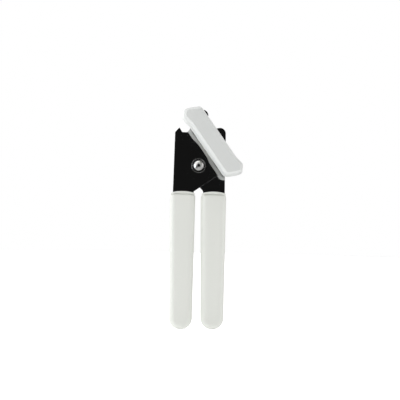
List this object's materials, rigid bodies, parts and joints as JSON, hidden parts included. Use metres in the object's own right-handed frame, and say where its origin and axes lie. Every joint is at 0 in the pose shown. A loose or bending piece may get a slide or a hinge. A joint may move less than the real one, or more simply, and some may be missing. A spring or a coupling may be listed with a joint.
{
  "type": "can opener",
  "caption": "Hand-held can opener: two plate levers with moulded grips, a butterfly key, a serrated feed wheel and a geared cutting wheel.",
  "frame": {"origin": "the nip, where a can's rim passes between the feed wheel and the cutting wheel, level with both wheel axes", "axes": "+X from the cutting wheel to the feed wheel and key, +Y away from the key through the plates to the wheels, +Z away from the grips"},
  "size_m": [0.0568, 0.0325, 0.1751],
  "materials": {
    "lever_steel": "bright chrome plate, mirror polished",
    "rivet_steel": "bright plate on a cold-formed head",
    "grip_plastic": "white moulded polypropylene, satin gloss",
    "key_plastic": "white moulded plastic, satin gloss",
    "collar_plastic": "white moulded acetal, matt",
    "wheel_steel": "hardened and ground steel",
    "gear_steel": "stamped and tumbled steel",
    "shaft_steel": "turned steel with peened ends",
    "washer_steel": "zinc-plated steel",
    "bush_steel": "turned steel, oiled"
  },
  "bodies": {
    "front_lever": {"front_plate": "lever_steel", "left_grip": "grip_plastic", "pivot_rivet": "rivet_steel", "pivot_front_washer": "washer_steel", "pivot_spacer_washer": "washer_steel", "pivot_rear_washer": "washer_steel", "shaft_bush": "bush_steel"},
    "rear_lever": {"rear_plate": "lever_steel", "right_grip": "grip_plastic", "cutter_stud": "rivet_steel", "cutter_washer": "washer_steel"},
    "crank": {"key_shell": "key_plastic", "key_core": "shaft_steel", "key_collar": "collar_plastic", "thrust_washer": "washer_steel", "wave_washer": "washer_steel", "drive_shaft": "shaft_steel", "drive_gear": "gear_steel", "feed_wheel": "wheel_steel", "feed_washer": "washer_steel"},
    "cutter": {"cutter_hub": "bush_steel", "cutter_gear": "gear_steel", "cutter_spacer": "washer_steel", "cutter_wheel": "wheel_steel"}
  },
  "joints": [
    {"name": "lever_pivot", "type": "hinge", "parent": "front_lever", "child": "rear_lever", "pos_m": [-0.001, -0.0065, -0.0176], "axis": [0, -1, 0], "range_deg": [0, 45]},
    {"name": "key_turn", "type": "hinge", "parent": "front_lever", "child": "crank", "pos_m": [0.009, -0.0065, 0], "axis": [0, -1, 0], "continuous": true},
    {"name": "cutter_spin", "type": "hinge", "parent": "rear_lever", "child": "cutter", "pos_m": [-0.009, -0.0065, 0], "axis": [0, -1, 0], "continuous": true}
  ],
  "couplings": [
    {"joint": "cutter_spin", "follows": "key_turn", "ratio": -1}
  ]
}
